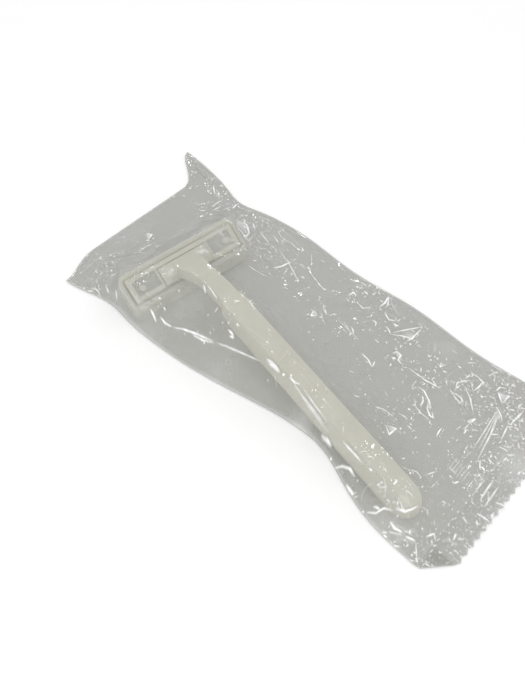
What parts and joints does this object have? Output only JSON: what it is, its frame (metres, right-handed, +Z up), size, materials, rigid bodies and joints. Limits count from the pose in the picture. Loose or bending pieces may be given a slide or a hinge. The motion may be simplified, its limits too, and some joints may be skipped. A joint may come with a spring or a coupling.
{
  "type": "packaged disposable razor",
  "caption": "Disposable twin-blade razor with a ribbed channel handle and a slide-off blade cover, lying in a clear film sachet with a serrated end.",
  "frame": {"origin": "under the middle of the sachet's outline, on the surface that it lies on", "axes": "+Y along the sachet towards the end with the razor's head, +Z up, +X across it"},
  "size_m": [0.0702, 0.1624, 0.017],
  "materials": {
    "razor_plastic": "satin moulded polystyrene, cream white",
    "blade_steel": "ground and honed stainless strip",
    "cover_plastic": "milky translucent polypropylene",
    "clear_film": "thin clear packing film, glossy and crinkled"
  },
  "bodies": {
    "sachet": {"sachet_back": "clear_film", "sachet_front": "clear_film", "sachet_end_seal": "clear_film", "blade_cover": "cover_plastic"},
    "razor": {"handle": "razor_plastic", "head_base": "razor_plastic", "lower_blade": "blade_steel", "blade_spacer": "razor_plastic", "upper_blade": "blade_steel", "head_cap": "razor_plastic"}
  },
  "joints": [
    {"name": "cover_pull_off", "type": "slide", "parent": "sachet", "child": "razor", "axis": [0, 0, 1], "range_m": [0, 0.014], "deforming": ["sachet_front"]}
  ]
}
